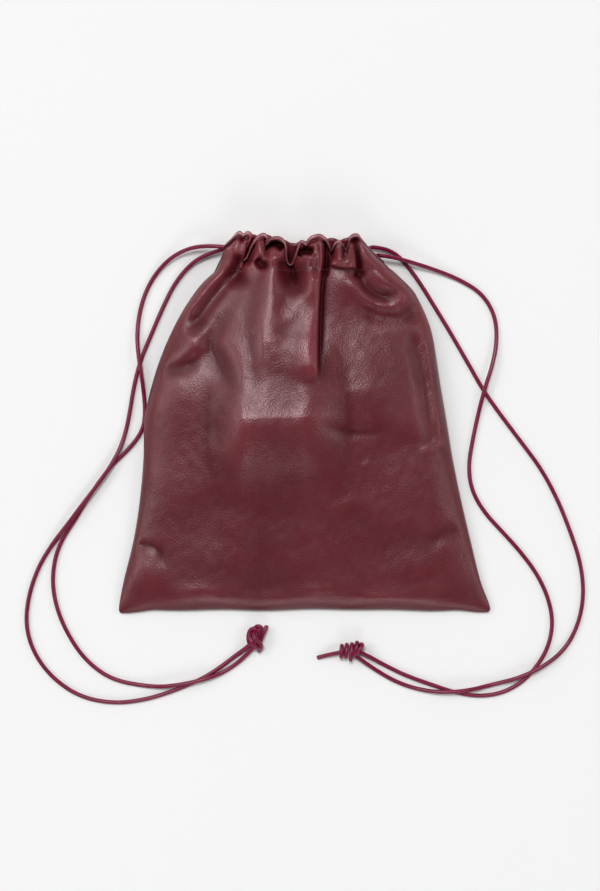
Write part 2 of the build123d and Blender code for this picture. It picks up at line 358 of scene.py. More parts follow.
RIGHT_LOWER_ROUTE = [
    (46.5, 104.6, 9.5),
    (54.0, 103.8, 9.0),
    (66.5, 100.6, 6.8),
    (81.5, 96.2, 3.2),
    (97.0, 90.3, LOW),
    (111.5, 81.5, LOW),
    (119.8, 67.5, LOW),
    (121.0, 51.5, LOW),
    (117.8, 36.0, OVER),
    (112.6, 20.5, OVER),
    (109.0, 5.5, LOW),
    (105.5, -11.0, LOW),
    (102.8, -27.5, LOW),
    (105.0, -42.5, LOW),
    (112.8, -56.0, LOW),
    (123.5, -67.5, LOW),
    (135.0, -80.0, LOW),
    (146.0, -94.5, LOW),
    (153.5, -110.5, LOW),
    (156.2, -126.5, LOW),
    (152.5, -142.5, LOW),
    (143.5, -156.0, LOW),
    (134.0, -164.5, LOW),
    (122.5, -170.0, LOW),
    (108.5, -171.6, LOW),
    (93.5, -169.0, LOW),
    (78.5, -163.8, LOW),
    (63.0, -158.3, LOW),
    (49.5, -151.6, LOW),
    (38.0, -144.9, 3.0),
    (31.0, -142.0, 4.0),
]


def cord_curve(name, routes, order=3, closed=False):
    """Round cord as smooth NURBS curves whose control points are the routes' points."""
    data = bpy.data.curves.new(name, "CURVE")
    data.dimensions = "3D"
    for points in routes:
        spline = data.splines.new("NURBS")
        spline.points.add(len(points) - 1)
        for control, point in zip(spline.points, points):
            control.co = (*(value * MM for value in point), 1)
        spline.order_u = min(order, len(points))
        spline.use_endpoint_u = not closed
        spline.use_cyclic_u = closed
        spline.resolution_u = 10
    data.bevel_depth = CORD_RADIUS
    data.bevel_resolution = 5
    data.use_fill_caps = True
    data.materials.append(CORD_MATERIAL)
    made = bpy.data.objects.new(name, data)
    bpy.context.scene.collection.objects.link(made)
    return made


def cord_piece(name, node_name, body, routes, **shape):
    """A piece of cord that rides a body and takes the place of a CAD node."""
    made = cord_curve(name, routes, **shape)
    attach(made, body)
    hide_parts(node_name)
    return made


# ---- knots --------------------------------------------------------------------------------------
# The left knot is a doubled overhand knot: three bends at its sides and two strands over its top.
LEFT_KNOT_BENDS = [
    [
        (-33.2, -141.2, 2.4), (-35.3, -137.4, 2.8), (-35.4, -132.6, 4.2), (-33.8, -128.9, 5.6),
        (-31.0, -128.3, 6.6), (-28.6, -130.4, 6.2), (-28.0, -134.0, 4.8), (-28.8, -137.6, 3.0),
    ],
    [
        (-31.8, -130.6, 3.2), (-31.2, -127.8, 4.8), (-28.6, -126.6, 5.8), (-26.3, -128.6, 5.8),
        (-26.0, -132.2, 5.2), (-27.0, -135.4, 4.4), (-28.4, -138.6, 2.4),
    ],
    [
        (-33.6, -130.0, 4.4), (-34.4, -133.0, 7.0), (-33.2, -136.2, 8.4), (-31.0, -138.8, 8.2),
        (-28.6, -140.8, 5.6), (-28.2, -142.2, 3.2),
    ],
    [
        (-31.4, -130.0, 5.8), (-31.6, -132.6, 8.6), (-30.2, -135.2, 9.4), (-27.8, -137.4, 8.0),
        (-26.5, -139.8, 5.4), (-27.4, -141.6, 2.8),
    ],
    [(-34.2, -137.0, 2.2), (-33.4, -140.6, 3.6), (-31.0, -141.6, 5.0), (-29.0, -139.6, 5.2)],
]
LEFT_TAIL = [(-26.6, -133.4, 4.2), (-25.4, -131.0, 4.4), (-24.0, -128.8, 3.9), (-23.8, -127.2, 3.2)]
LEFT_SHORT_TAIL = [(-30.2, -138.0, 4.0), (-29.2, -140.8, 3.4), (-28.2, -143.4, 2.2)]
RIGHT_TAIL = [(24.5, -143.2, 4.2), (19.4, -144.4, 3.0), (13.8, -145.6, 1.8), (8.0, -147.4, 1.3)]

# The right knot is a barrel of wraps: each wrap is (middle x, middle y, half width in y, lean of its top).
RIGHT_KNOT_WRAPS = [
    (23.2, -143.0, 3.7, 0.4),
    (26.2, -142.6, 4.0, 0.8),
    (29.3, -143.4, 5.1, 1.0),
    (32.0, -141.6, 4.3, 2.3),
    (34.4, -141.6, 3.2, 3.4),
]
WRAP_POINTS = 8
WRAP_RISE = 3.3
WRAP_SPREAD = 1.06
SMOOTH_BEND = 4  # order of the curve through a knot's points


def wrap_ring(middle_x, middle_y, half, lean):
    """Points round one wrap, its top leaning towards the cord and its underside upright."""
    ring = []
    for i in range(WRAP_POINTS):
        angle = 2 * math.pi * i / WRAP_POINTS
        tilt = lean * math.cos(angle) * (0.4 + 0.6 * max(math.sin(angle), 0))
        height = CORD_RADIUS / MM + WRAP_RISE * (1 + math.sin(angle))
        ring.append((middle_x + tilt, middle_y + half * WRAP_SPREAD * math.cos(angle), height))
    return ring


for name, node_name, bends in (
    ("left_knot", "left_cord_knot", LEFT_KNOT_BENDS),
    ("left_knot_tail", "left_cord_tail", [LEFT_TAIL]),
    ("left_knot_short_tail", "left_cord_short_tail", [LEFT_SHORT_TAIL]),
):
    cord_piece(name, node_name, "left_cord", bends, order=SMOOTH_BEND)
wraps = [wrap_ring(*each) for each in RIGHT_KNOT_WRAPS]
cord_piece("right_knot", "right_cord_knot", "right_cord", wraps, order=SMOOTH_BEND, closed=True)
cord_piece("right_knot_tail", "right_cord_tail", "right_cord", [RIGHT_TAIL], order=SMOOTH_BEND)

for side, upper, lower in (
    ("left", LEFT_UPPER_ROUTE, LEFT_LOWER_ROUTE),
    ("right", RIGHT_UPPER_ROUTE, RIGHT_LOWER_ROUTE),
):
    for which, route in (("upper", upper), ("lower", lower)):
        strand = cord_piece(
            f"{side}_cord_{which}_leather", f"{side}_cord_{which}_strand", f"{side}_cord", [route]
        )

# ---- leather: shared shaping ---------------------------------------------------------------------
def smoothstep(low, high, value):
    """0 up to low, 1 from high on, and a smooth change between; low may be the larger."""
    t = np.clip((value - low) / (high - low), 0, 1)
    return t * t * (3 - 2 * t)


def through(points, count):
    """A smooth curve through the points (Catmull-Rom), sampled at equal steps of its length."""
    p = np.array(points, float)
    padded = np.vstack([2 * p[0] - p[1], p, 2 * p[-1] - p[-2]])
    t = np.linspace(0, 1, 24, endpoint=False)[:, None]
    spans = []
    for a, b, c, d in zip(padded, padded[1:], padded[2:], padded[3:]):
        bend = 2 * a - 5 * b + 4 * c - d
        twist = 3 * b - a - 3 * c + d
        spans.append(0.5 * (2 * b + (c - a) * t + bend * t**2 + twist * t**3))
    dense = np.vstack([*spans, p[-1:]])
    travelled = np.concatenate([[0], np.cumsum(np.linalg.norm(np.diff(dense, axis=0), axis=1))])
    steps = np.linspace(0, travelled[-1], count)
    return np.stack([np.interp(steps, travelled, dense[:, axis]) for axis in range(p.shape[1])], axis=1)


def nearest(points, x, y):
    """Signed distance from a curve through the points (left of it positive) and the share along it."""
    line = through(points, 22)
    best = np.full(x.shape, 1e9)
    side = np.zeros(x.shape)
    share = np.zeros(x.shape)
    for i, (start, end) in enumerate(zip(line, line[1:])):
        dx, dy = end - start
        length = math.hypot(dx, dy)
        t = np.clip(((x - start[0]) * dx + (y - start[1]) * dy) / length**2, 0, 1)
        away = np.hypot(x - start[0] - t * dx, y - start[1] - t * dy)
        closer = away < best
        best = np.where(closer, away, best)
        cross = dx * (y - start[1]) - dy * (x - start[0])
        side = np.where(closer, np.sign(cross), side)
        share = np.where(closer, (i + t) / (len(line) - 1), share)
    return best * side, share


def ends(share, fade_in, fade_out):
    """How strong a fold is along its length, fading in and out at its ends."""
    return smoothstep(0, max(fade_in, 1e-3), share) * (1 - smoothstep(1 - max(fade_out, 1e-3), 1, share))


def ridge(x, y, points, height, width, fade=(0.1, 0.4), widen=1.0):
    """A rounded ridge, or a valley where height is negative, that widens along its length."""
    away, share = nearest(points, x, y)
    spread = width * (1 + (widen - 1) * share)
    return height * np.exp(-((away / spread) ** 2)) * ends(share, *fade)


def crease(x, y, points, height, width, fade=(0.1, 0.4), widen=1.0):
    """A crease: a valley, or a ridge, with a sharp line in its middle."""
    away, share = nearest(points, x, y)
    spread = width * (1 + (widen - 1) * share)
    return height * np.exp(-np.sqrt(away**2 + 0.15) / spread) * ends(share, *fade)


def step(x, y, points, height, sharp, reach, fade=(0.1, 0.4)):
    """An overlap: the left of the line stands up by height, falls off sharply across the line."""
    away, share = nearest(points, x, y)
    up = 0.5 * (1 + np.tanh(away / sharp))
    return height * up * np.exp(-((np.maximum(away, 0) / reach) ** 2)) * ends(share, *fade)


def swell(x, y, centre, height, size):
    """A broad rise with the given half sizes along X and Y."""
    return height * np.exp(-(((x - centre[0]) / size[0]) ** 2) - ((y - centre[1]) / size[1]) ** 2)


def unevenness(x, y, wavelength, seed):
    """Smooth random height of about +-1: waves in scattered directions."""
    draw = np.random.default_rng(seed)
    total = np.zeros(x.shape)
    waves = 14
    for _ in range(waves):
        angle = draw.uniform(0, math.pi)
        number = 2 * math.pi / (wavelength * draw.uniform(0.7, 1.5))
        phase = draw.uniform(0, 2 * math.pi)
        total += np.sin((x * math.cos(angle) + y * math.sin(angle)) * number + phase)
    return total / math.sqrt(waves / 2)


# ---- leather: outline of the lying bag, in millimetres ---------------------------------------------
BOTTOM = -119.5
HEM_BASE = 94.0
LEFT_EDGE = [
    (-119.5, -115.2), (-116, -116.4), (-98.6, -113.3), (-73.5, -107.2), (-48.4, -103.3),
    (-23.2, -101), (0, -100.4), (14.5, -98), (39.6, -90.6), (64.7, -79.3), (84.8, -66.2),
    (97, -53.4),
]
RIGHT_EDGE = [
    (-119.5, 114.6), (-116, 116.4), (-98.6, 110.3), (-73.5, 104.1), (-48.4, 98.2), (-23.2, 93),
    (0, 89.2), (27, 84.6), (52.2, 80.6), (64.7, 77), (77.3, 71.2), (84.8, 66.2), (97, 53.4),
]
CROWN = [
    (-119.5, 7.5), (-112, 9.5), (-85, 13), (-45, 17), (-5, 19.6), (35, 20.6), (65, 21.2),
    (85, 21.4), (97, 20.8),
]
SEAM = [(-119.5, 2.4), (0, 4.4), (97, 7.2)]

# The rim of the front hem, from the left end of the neck to the right, gathered on the cords.
RIM = [
    (-50.4, 107.6, 8.5), (-49.6, 112.0, 12), (-45.8, 115.4, 17), (-42.2, 119.0, 20.6),
    (-39.8, 119.8, 21), (-37.8, 118.4, 20), (-35.6, 119.8, 21), (-33.4, 118.4, 20.5),
    (-36.2, 111.8, 18.2), (-39.2, 105.6, 16.0), (-38.0, 102.4, 15.0), (-35.6, 104.0, 15.6),
    (-32.6, 110.8, 18.2), (-29.8, 116.0, 20), (-27.2, 118.2, 20.6), (-24.6, 118.5, 20.4),
    (-23.2, 116.4, 19.0), (-25.0, 113.2, 17.5), (-23.6, 112.4, 17.5), (-20.8, 115.6, 20),
    (-17.0, 116.5, 21.5), (-13.8, 115.2, 21), (-11.9, 112.0, 19.5), (-11.8, 105.0, 17.0),
    (-11.0, 101.0, 15.6), (-9.0, 99.2, 15.0), (-6.9, 100.6, 15.4), (-5.2, 105.2, 17.0),
    (-3.4, 110.5, 18.4), (-2.2, 114.0, 19), (-0.6, 113.8, 19), (1.2, 112.4, 19.4),
    (2.6, 115.2, 21.2), (5.0, 117.2, 22.5), (9.3, 118.0, 23), (12.5, 116.2, 22),
    (14.6, 112.4, 19.8), (16.8, 108.2, 17.8), (18.8, 112.8, 19.4), (21.6, 114.8, 20.4),
    (23.7, 112.4, 18.8), (25.6, 109.4, 17.2), (27.0, 112.4, 18.6), (27.8, 115.8, 20.4),
    (29.6, 117.7, 21.4), (32.5, 118.2, 21.6), (35.4, 116.0, 20), (42.0, 108.2, 15),
    (50.6, 99.2, 8.8),
]


def edge_at(table, y):
    """The outline's value at height y, from a table of (y, value)."""
    curve_points = through(table, 160)
    return np.interp(y, curve_points[:, 0], curve_points[:, 1])


def ledge(x, y, start, end, height, above, below, fade=(0.15, 0.15)):
    """A low ledge along a straight line: an even slope up to it on its left, falling away on its right."""
    length = math.hypot(end[0] - start[0], end[1] - start[1])
    along_x, along_y = (end[0] - start[0]) / length, (end[1] - start[1]) / length
    share = ((x - start[0]) * along_x + (y - start[1]) * along_y) / length
    away = (y - start[1]) * along_x - (x - start[0]) * along_y
    rise = np.clip(1 - away / above, 0, 1) ** 1.3
    fall = np.exp(-((np.minimum(away, 0) / below) ** 2))
    return height * rise * fall * ends(np.clip(share, 0, 1), *fade)


# The front leather's folds, each as the function that makes it and what that function takes after x and y:
# for a ridge or crease its route from the neck down, height, width, fades at its two ends, and widening.
FOLDS = [
    # left shoulder: an outer ridge, a valley, a broad grainy ridge and a long valley beside the middle
    (
        ridge,
        [(-47.4, 110), (-45.2, 101), (-50.6, 94.2), (-60, 83), (-71.3, 69), (-82, 54)],
        3.2,
        2.5,
        (0.05, 0.4),
        3.0,
    ),
    (
        ridge,
        [(-41, 106), (-41.5, 97), (-47.4, 89), (-55, 80), (-61.2, 71.6), (-68, 61), (-73, 51)],
        -5.6,
        4.6,
        (0.08, 0.25),
        1.5,
    ),
    (
        ridge,
        [(-42, 90), (-50, 76.6), (-57.5, 66.6), (-65, 55.3), (-73, 46), (-82, 42)],
        2.2,
        6.4,
        (0.15, 0.3),
        1.4,
    ),
    (
        ridge,
        [(-36, 96), (-46, 78), (-54, 61.6), (-57.5, 49), (-52.4, 37.7), (-45, 22), (-41, 6)],
        -2.9,
        5.4,
        (0.08, 0.3),
        1.5,
    ),
    (ridge, [(-33, 111), (-34.5, 103), (-36, 96)], -4.0, 2.6, (0.02, 0.4)),
    (ridge, [(-92, 34), (-80, 33), (-68, 38), (-60, 46)], -2.0, 5.0, (0.3, 0.4), 1.0),
    (swell, (-72, 16), 1.8, (20, 22)),
    # the middle panel: bulges out under the rim and spreads downwards
    (ridge, [(-17.6, 110), (-18.5, 98), (-21, 80), (-22, 55), (-20, 25)], 4.8, 5.2, (0.12, 0.5), 3.0),
    (ridge, [(-25, 110.5), (-18.5, 111.5), (-12.5, 108)], -8.5, 2.5, (0.12, 0.12)),
    (ridge, [(-28.5, 115), (-27.5, 107), (-26, 100)], 1.6, 2.0, (0.1, 0.3)),
    (ridge, [(-30, 102), (-26, 97.5), (-23, 101)], -4.4, 2.6, (0.2, 0.4)),
    (crease, [(-9, 101), (-7, 95), (-6.2, 90), (-5, 84)], -6.0, 2.6, (0.02, 0.5), 1.6),
    (ridge, [(-13, 103), (-11.5, 91), (-6, 84), (5, 81.5)], -3.6, 4.2, (0.15, 0.4), 1.3),
    (swell, (-7.5, 93), -2.6, (4.5, 6)),
    # between the notch and the middle crease
    (ridge, [(3.4, 106), (3.6, 98), (4.4, 88), (3.5, 68)], 3.8, 4.4, (0.12, 0.6), 1.5),
    (ridge, [(-4.6, 104), (0, 106.6), (6, 105.6)], -8.0, 2.1, (0.1, 0.2)),
    (ridge, [(9.0, 114), (10.6, 104), (10.0, 94), (9.0, 84)], 3.0, 1.7, (0.05, 0.4)),
    (ridge, [(13.4, 113), (13.6, 100), (12.6, 88)], -5.0, 1.6, (0.05, 0.35)),
    (step, [(8.2, 22), (8.6, 45), (9.4, 70), (11.0, 96)], 4.0, 0.6, 15, (0.2, 0.12)),
    (crease, [(11.6, 99), (10.2, 75), (9.4, 50), (9.0, 26)], -3.4, 1.6, (0.1, 0.35), 1.3),
    (swell, (24, 90), 3.0, (12, 13)),
    # right of the crease: the hem stands over the panel, then a deep pleat and the shoulder ridge
    (step, [(15, 97.2), (24, 95.2), (33.5, 95.2)], 4.6, 0.6, 14, (0.1, 0.1)),
    (ridge, [(21.6, 114), (21.6, 97)], 2.0, 1.9, (0.1, 0.2)),
    (ridge, [(27.2, 113), (27.0, 97)], 1.4, 1.6, (0.1, 0.2)),
    (ridge, [(17.4, 108), (17.6, 98)], -2.0, 1.2, (0.1, 0.4)),
    (ridge, [(24.4, 110), (24.4, 99)], -1.6, 1.0, (0.1, 0.4)),
    (crease, [(31, 116), (32.4, 104), (33.4, 95), (31, 88)], -7.0, 2.2, (0.1, 0.35)),
    (
        ridge,
        [(34.5, 116), (38, 104), (45, 95), (54, 86.7), (65, 78), (73, 73)],
        3.6,
        6.0,
        (0.05, 0.25),
        1.5,
    ),
    (ridge, [(33.5, 95), (37, 86), (44, 80), (54, 77), (62, 74)], -3.4, 3.8, (0.1, 0.35), 1.4),
    (ridge, [(28, 91), (34, 83), (43.7, 75.4), (54, 72.9), (68, 70.4)], 1.7, 4.4, (0.2, 0.3), 1.4),
    (ridge, [(33, 76), (45, 67), (60, 67), (74, 69)], -2.0, 6.0, (0.25, 0.25), 1.0),
    (ledge, (-10, 14), (86, 28), 3.2, 40, 34, (0.35, 0.6)),
    (ridge, [(73, 60), (80, 34), (84, 5), (88, -22)], 1.2, 4.0, (0.15, 0.4)),
    (ridge, [(64, 60), (71, 34), (76, 5), (80, -25)], -1.6, 5.0, (0.15, 0.4)),
    # flats and rises of the body
    (ledge, (-62, 1.7), (30, 4.8), 12.0, 84, 34, (0.28, 0.36)),
    (ledge, (-34, 49), (14, 52), 2.2, 30, 26, (0.2, 0.3)),
    (ridge, [(-1, 88), (-6, 72), (-14, 56)], 1.5, 6.0, (0.3, 0.4)),
    (ridge, [(6, -1), (30, -6), (58, -4)], -0.8, 4.0, (0.4, 0.4)),
    (ridge, [(12, -58), (24, -52), (37, -44)], 0.45, 5.0, (0.4, 0.4)),
    (ridge, [(34, -28), (42, -24)], 0.3, 2.4, (0.4, 0.4)),
    (ridge, [(70, -20), (80, -15), (90, -10)], 1.0, 4.0, (0.4, 0.3)),
    (ridge, [(72, -76), (86, -70), (98, -66)], -1.0, 5.0, (0.4, 0.3)),
    (crease, [(-107, -76), (-98, -76.5), (-90, -81), (-86, -93)], -1.7, 3.0, (0.2, 0.4)),
    (swell, (-99, -91), 1.0, (9, 12)),
]
BOTTOM_BULGES = [(-68, -106, 0.7), (-22, -109, 0.4), (8, -105, 0.6), (46, -110, 0.4), (80, -104, 0.5)]
BULGE_SIZE = (13, 5)


def relief(x, y):
    """Folds of the front leather away from the smooth puffed form."""
    z = np.zeros(x.shape)
    for fold, *sizes in FOLDS:
        z += fold(x, y, *sizes)
    for bulge_x, bulge_y, height in BOTTOM_BULGES:
        z += swell(x, y, (bulge_x, bulge_y), height, BULGE_SIZE)
    z += 0.32 * unevenness(x, y, 70, 3) * smoothstep(112, 40, y)
    z += 0.07 * unevenness(x, y, 24, 8) * smoothstep(105, 80, y)
    z += 0.03 * unevenness(x, y, 9, 12)
    return z


# ---- leather: rows and columns of points -----------------------------------------------------------
COLUMNS = 480
BODY_ROWS = 250
BOTTOM_ROLL = 12  # length of the finely divided stretch at the bottom edge
BOTTOM_ROLL_ROWS = 25
HEM_ROWS = 44
ROLL_ROWS = 9  # round the fold of the rim
INNER_ROWS = 22  # turned back down inside
BACK_HEM_ROWS = 26
BACK_INNER_ROWS = 10
HEM_THICK = 1.2
BACK_HEM_THICK = 3.0
HEM_PUFF = 1.4  # the hem swells round its cords
LIP_DIP = 2.6  # and dips just under the rim
RIM_LEAN = 0.1  # how far the folds lean back for their height
NECK_SMOOTHING = 0.045  # share of the neck over which the body's columns even out its gathers
HOLLOW_DEPTH = 1.6  # a point this far under its surroundings counts as deep in a fold
FLOOR_GAP = 0.15
BACK_EDGE_ROUNDING = 7.0


def smooth_along(values, spread):
    """Values averaged along their first axis with a bell of the given spread, in samples."""
    reach = int(3 * spread)
    bell = np.exp(-0.5 * (np.arange(-reach, reach + 1) / spread) ** 2)
    bell /= bell.sum()
    before = 2 * values[0] - values[reach:0:-1]
    after = 2 * values[-1] - values[-2 : -reach - 2 : -1]
    padded = np.concatenate([before, values, after])
    return np.apply_along_axis(lambda line: np.convolve(line, bell, "valid"), 0, padded)


def across_body(y, neck_share):
    """X of each column at height y: even on the body and following the gathers near the neck."""
    s = np.linspace(0, 1, COLUMNS)
    even = 0.72 * (0.5 - 0.5 * np.cos(math.pi * s)) + 0.28 * s
    gathered = smoothstep(20, HEM_BASE, y)[:, None]
    share = even[None] * (1 - gathered) + neck_share[None] * gathered
    left = edge_at(LEFT_EDGE, y)[:, None]
    right = edge_at(RIGHT_EDGE, y)[:, None]
    return left + share * (right - left), share


def puffed(x, y):
    """Height of the smooth puffed front, from the side seams to its crown."""
    left, right = edge_at(LEFT_EDGE, y), edge_at(RIGHT_EDGE, y)
    middle, half = (left + right) / 2, (right - left) / 2
    t = np.clip(np.abs((x - middle) / half), 0, 1)
    seam = edge_at(SEAM, y)
    crown = edge_at(CROWN, y)
    low_roll = np.sqrt(np.clip(1 - np.clip((BOTTOM + 10 - y) / 10, 0, 1) ** 2, 0, 1))
    shape = (1 - t**2.5) ** 0.52
    edge_roll = (1 - np.clip((t - 0.78) / 0.22, 0, 1) ** 2) ** 0.5
    return seam + (crown - seam) * (0.58 * shape + 0.42 * edge_roll) * low_roll


def body_heights():
    """Y of each row of the body: close together in the roll of the bottom edge and near the hem."""
    share = np.linspace(0, 1, BODY_ROWS)
    y = BOTTOM + (HEM_BASE - BOTTOM) * (0.55 * share + 0.45 * np.sin(share * math.pi / 2))
    roll = np.linspace(0, 1, BOTTOM_ROLL_ROWS + 1)[:-1]
    low = BOTTOM + BOTTOM_ROLL * (1 - np.cos(roll * math.pi / 2))
    return np.concatenate([low, y[y > BOTTOM + BOTTOM_ROLL]])


def front_hem(x, y, rim, inside):
    """The front's gathered hem, from the body's top rows x and y up to the rim."""
    v = np.linspace(0, 1, HEM_ROWS)[1:, None, None]
    plain = np.stack([x, y, puffed(x, y)], axis=2)
    base = plain[-1]
    up = base - plain[0]
    up = up / np.linalg.norm(up, axis=1, keepdims=True)
    reach = np.linalg.norm(rim - base, axis=1, keepdims=True)
    start_slope = up * reach * 0.9
    end_slope = (rim - base) * np.array([0.9, 0.9, 0.25])
    h00, h10 = 2 * v**3 - 3 * v**2 + 1, v**3 - 2 * v**2 + v
    h01, h11 = -2 * v**3 + 3 * v**2, v**3 - v**2
    hem = h00 * base + h10 * start_slope + h01 * rim + h11 * end_slope
    v = v[:, :, 0]
    hem[:, :, 2] += relief(hem[:, :, 0], hem[:, :, 1]) * inside * (1 - smoothstep(0.84, 1, v))
    hem[:, :, 2] += HEM_PUFF * np.sin(math.pi * v) ** 2 * inside
    hem[:, :, 2] -= LIP_DIP * np.exp(-(((v - 0.88) / 0.075) ** 2)) * inside
    return hem


def front_lattice():
    """The front leather's outer face, from its bottom edge to its rim."""
    rim = through(RIM, COLUMNS)
    rim[:, 1] -= RIM_LEAN * rim[:, 2]
    neck_x = np.maximum.accumulate(smooth_along(rim[:, 0], COLUMNS * NECK_SMOOTHING))
    neck_share = (neck_x - neck_x[0]) / (neck_x[-1] - neck_x[0])
    y_rows = body_heights()
    x, share = across_body(y_rows, neck_share)
    y = np.repeat(y_rows[:, None], COLUMNS, axis=1)
    inside = smoothstep(0, 0.035, share) * smoothstep(0, 0.035, 1 - share)
    low_fade = smoothstep(BOTTOM, BOTTOM + 9, y)
    z = puffed(x, y) + relief(x, y) * inside * low_fade
    # the bottom edge is drawn in a little between the corners and wanders
    draw_in = 2.3 * smoothstep(112, 92, np.abs(x)) + 0.35 * unevenness(x, x * 0, 46, 5)
    y = y + draw_in * smoothstep(BOTTOM + 22, BOTTOM, y)
    body = np.stack([x, y, z], axis=2)
    return np.concatenate([body, front_hem(x[-4:], y[-4:], rim, inside[-1])])


def normals_of(lattice):
    """Unit normals of the surface through the lattice, at each of its points."""
    along_s = np.gradient(lattice, axis=1)
    along_v = np.gradient(lattice, axis=0)
    normal = np.cross(along_s, along_v)
    return normal / np.maximum(np.linalg.norm(normal, axis=2, keepdims=True), 1e-9)


def with_turned_hem(lattice, thickness, turned_rows):
    """The outer face, rolled over its rim and turned back down inside."""
    outward = normals_of(lattice)
    rim = lattice[-1]
    along = rim - lattice[-4]
    along = along / np.linalg.norm(along, axis=1, keepdims=True)
    n = outward[-2]
    n = n - along * np.sum(n * along, axis=1, keepdims=True)
    n = n / np.linalg.norm(n, axis=1, keepdims=True)
    radius = thickness / 2
    angles = np.linspace(0, math.pi, ROLL_ROWS)[1:, None, None]
    roll = rim[None] - radius * n[None] + radius * (np.cos(angles) * n[None] + np.sin(angles) * along[None])
    turned = (lattice - thickness * outward)[-2 : -2 * turned_rows - 2 : -2]
    return np.concatenate([lattice, roll, turned])


# this depth paints shade into the folds and light onto the crests, and lowers the shine in the folds
def hollowness(lattice):
    """How far each point lies under the surface around it: 1 in a deep fold, 0 on the flat, -1 on a crest."""
    around = smooth_along(smooth_along(lattice[:, :, 2], 7).T, 11).T
    return np.clip((around - lattice[:, :, 2]) / HOLLOW_DEPTH, -1, 1)


def lattice_object(name, lattice, wear_and_highlight, columns):
    """A leather mesh from some columns of a lattice, shaded by the whole lattice's normals."""
    rows, count = lattice[:, columns].shape[:2]
    points = lattice[:, columns].reshape(-1, 3) * MM
    index = np.arange(rows * count).reshape(rows, count)
    corners = [index[:-1, :-1], index[:-1, 1:], index[1:, 1:], index[1:, :-1]]
    quads = np.stack(corners, axis=2).reshape(-1, 4)
    data = bpy.data.meshes.new(name)
    data.from_pydata(points.tolist(), [], quads.tolist())
    data.polygons.foreach_set("use_smooth", [True] * len(quads))
    data.normals_split_custom_set_from_vertices(normals_of(lattice)[:, columns].reshape(-1, 3).tolist())
    for label, values in (("wear_and_highlight", wear_and_highlight), ("hollow_shade", hollowness(lattice))):
        data.attributes.new(label, "FLOAT", "POINT").data.foreach_set("value", values[:, columns].ravel())
    data.materials.append(LEATHER_MATERIAL)
    made = bpy.data.objects.new(name, data)
    bpy.context.scene.collection.objects.link(made)
    return made


def rim_wear_and_highlight(lattice, turned_rows):
    """How worn each point is, which also sets its painted highlight: most along the fold of the rim, in
    uneven stretches.
    """
    rows = lattice.shape[0]
    fold_row = rows - turned_rows - ROLL_ROWS + 1
    past = np.arange(rows)[:, None] - fold_row + 1.5
    away = np.where(past < 0, past / 1.9, past / 2.2)
    uneven = 0.9 + 0.12 * unevenness(lattice[..., 0], lattice[..., 1], 7, 21)
    return np.clip(np.exp(-(away**2)) * uneven, 0, 1)


# The rim of the back hem, from the left end of the neck to the right.
BACK_RIM = [
    (-50.4, 107.2, 7.4), (-46.5, 113.2, 7), (-42, 116.6, 9), (-38, 115.8, 6), (-33, 117.2, 9),
    (-28.6, 116.2, 6), (-23.5, 117.0, 9), (-18.5, 114.6, 6), (-13, 113.8, 8.5), (-9.5, 112.2, 6.5),
    (-6, 111.8, 7.5), (-2.4, 113.4, 8.5), (2, 113.2, 6), (8, 115.6, 9), (13, 114.2, 6),
    (17.5, 114.9, 8.5), (22, 113.6, 6), (26.5, 115.2, 8.5), (31, 116.2, 6), (36.5, 112.6, 7),
    (42, 106.6, 5), (50.6, 99.2, 7.4),
]


def back_lattice(front_body):
    """The back leather's outer face: flat on the floor, its edges lifted to the seams, and its own hem."""
    x, y, front_z = front_body[:, :, 0], front_body[:, :, 1], front_body[:, :, 2]
    lift_left = np.clip(1 - (x - x[:, :1]) / BACK_EDGE_ROUNDING, 0, 1)
    lift_right = np.clip(1 - (x[:, -1:] - x) / BACK_EDGE_ROUNDING, 0, 1)
    lift = 1 - np.sqrt(1 - np.maximum(lift_left, lift_right) ** 2)
    seam_z = 0.5 * (front_z[:, :1] + front_z[:, -1:])
    bottom_lift = 1 - np.sqrt(1 - np.clip(1 - (y - y[:1]) / BACK_EDGE_ROUNDING, 0, 1) ** 2)
    z = FLOOR_GAP + (seam_z - FLOOR_GAP) * np.maximum(lift, bottom_lift)
    z[0] = front_z[0]
    body = np.stack([x, y, z], axis=2)
    rim = through(BACK_RIM, COLUMNS)
    v = np.linspace(0, 1, BACK_HEM_ROWS)[1:, None, None]
    base = body[-1]
    hem = base + (rim - base) * v
    v = v[:, :, 0]
    hem[:, :, 2] = base[:, 2] * (1 - v) + rim[:, 2] * v**2
    return np.concatenate([body, hem])


front = with_turned_hem(front_lattice(), HEM_THICK, INNER_ROWS)
BODY_COUNT = front.shape[0] - (HEM_ROWS - 1) - (ROLL_ROWS - 1) - INNER_ROWS
back = back_lattice(front[:BODY_COUNT])
back_turned = with_turned_hem(back[:, ::-1], BACK_HEM_THICK, BACK_INNER_ROWS)

# Each leather is one piece, shown in two halves that meet at the middle crease. On the bag, drawing the left
# cord gathers the right half of the neck, and the right cord the left half; here the halves are only baked in
# place.
MIDDLE = (0.0085, 0.119, 0.0)


def gather(piece, side):
    """Bake the half's place into its mesh; either side is treated the same."""
    if side == "left":
        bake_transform(piece)
    else:
        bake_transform(piece)


def middle_column(rim_row):
    """The column of the rim nearest the middle crease."""
    return int(np.argmin(np.abs(rim_row[:, 0] - MIDDLE[0] / MM)))


def leather_halves(name, lattice, wear_and_highlight, middle, nodes):
    """Show one leather as a left and a right half that share the middle column."""
    first = "left" if lattice[0, 0, 0] < 0 else "right"
    second = "right" if first == "left" else "left"
    for side, columns in ((first, slice(0, middle + 1)), (second, slice(middle, None))):
        half = lattice_object(f"{name}_{side}_half", lattice, wear_and_highlight, columns)
        gather(half, side)
        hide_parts(*nodes)


RIM_ROW = BODY_COUNT + HEM_ROWS - 2
FRONT_MIDDLE = middle_column(front[RIM_ROW])
BACK_MIDDLE = middle_column(back[-1])
